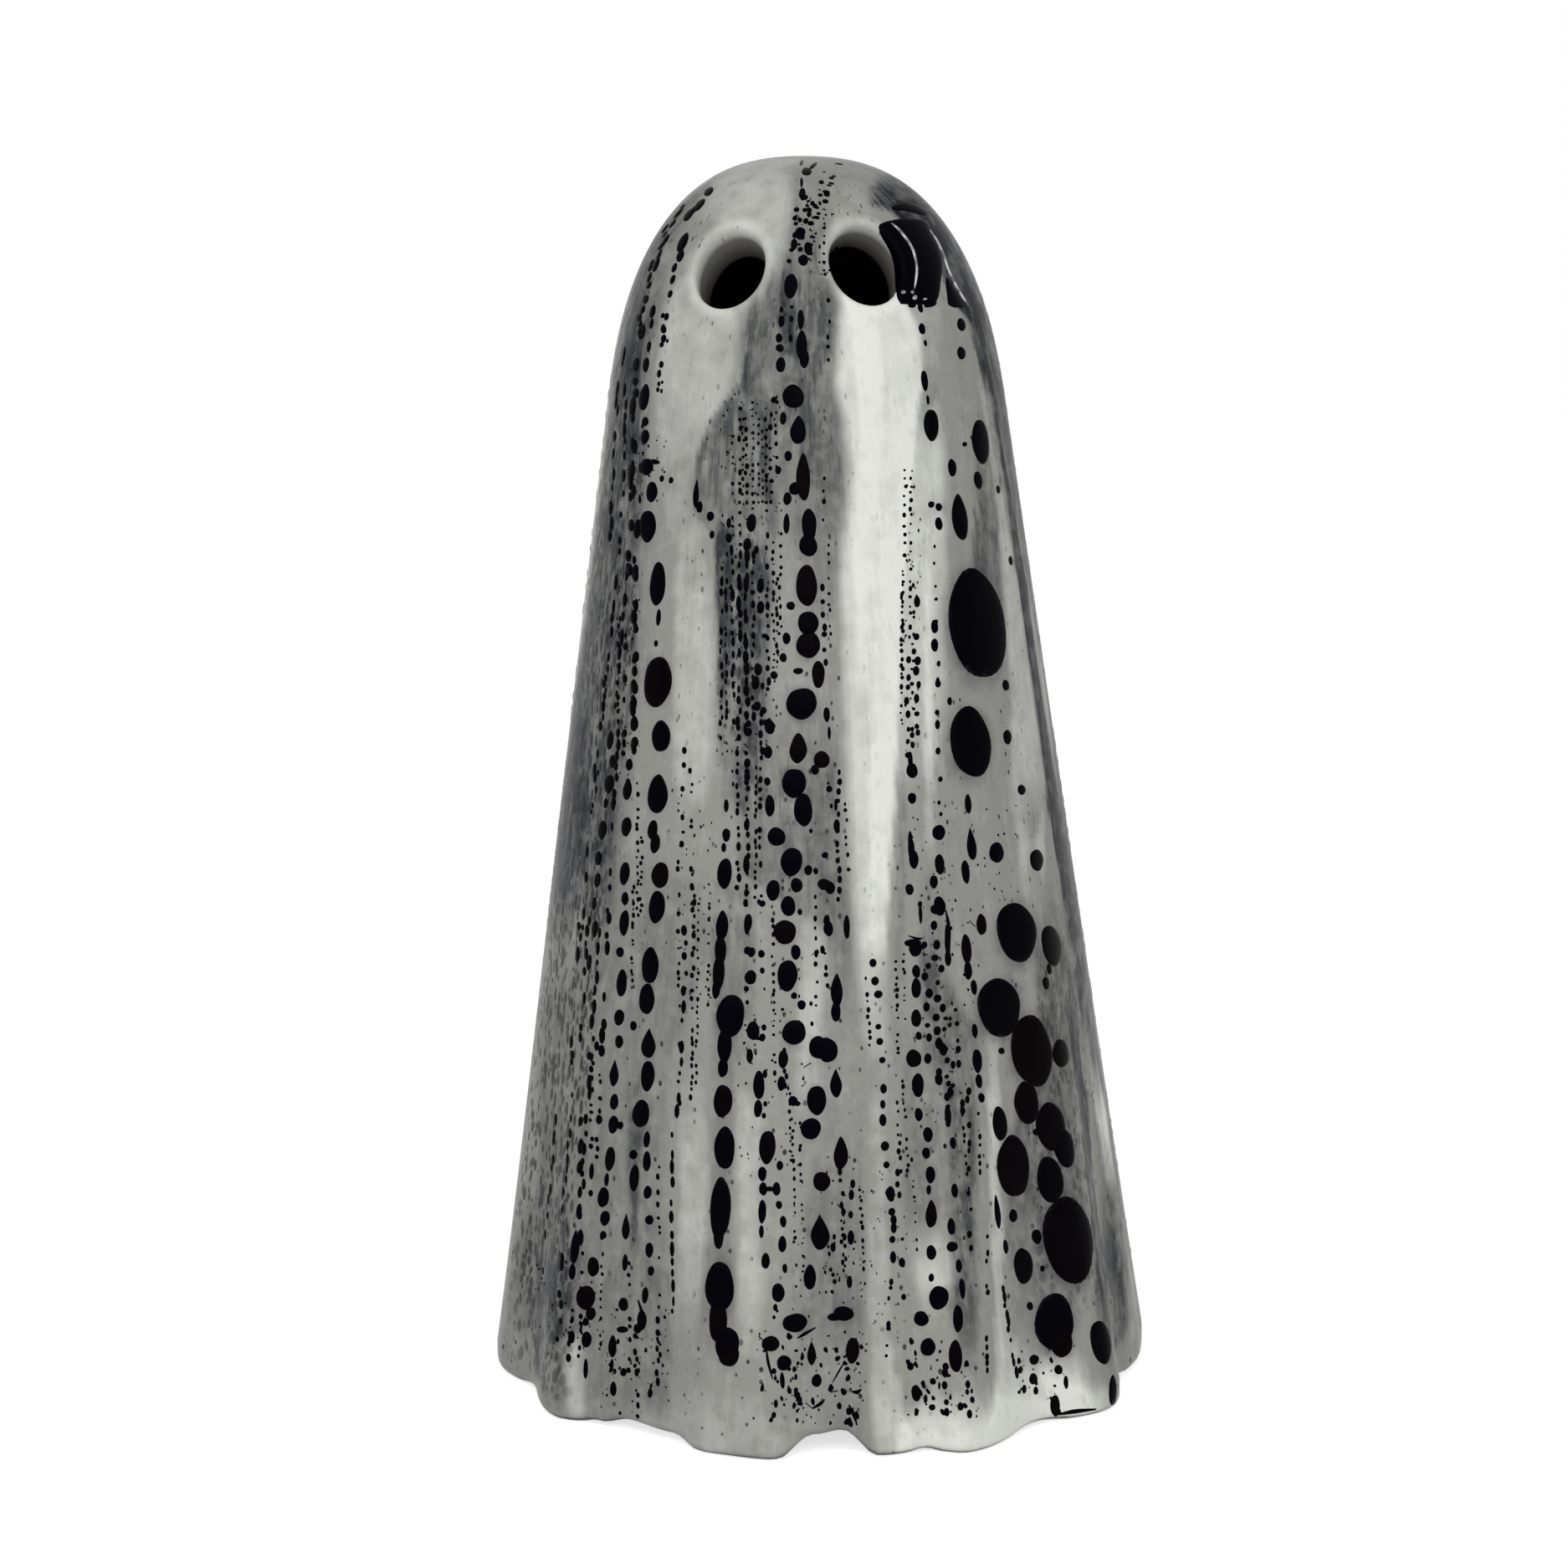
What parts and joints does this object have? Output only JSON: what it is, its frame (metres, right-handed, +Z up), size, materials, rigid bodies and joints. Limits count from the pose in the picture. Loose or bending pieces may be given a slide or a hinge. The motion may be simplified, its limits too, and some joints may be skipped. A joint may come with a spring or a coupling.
{
  "type": "ghost figurine",
  "caption": "Hollow glazed ceramic ghost: a tall bell with a round head, pierced eye holes and a wavy folded hem, open underneath, to stand on a shelf or over a small light",
  "frame": {"origin": "middle of the footprint, on the surface that the figurine stands on", "axes": "+Z up, the eye holes face -Y, +X is the viewer's right"},
  "size_m": [0.081, 0.0818, 0.15],
  "materials": {
    "glaze": "gloss"
  },
  "bodies": {
    "root": {"ghost_shell": "glaze"}
  },
  "joints": []
}
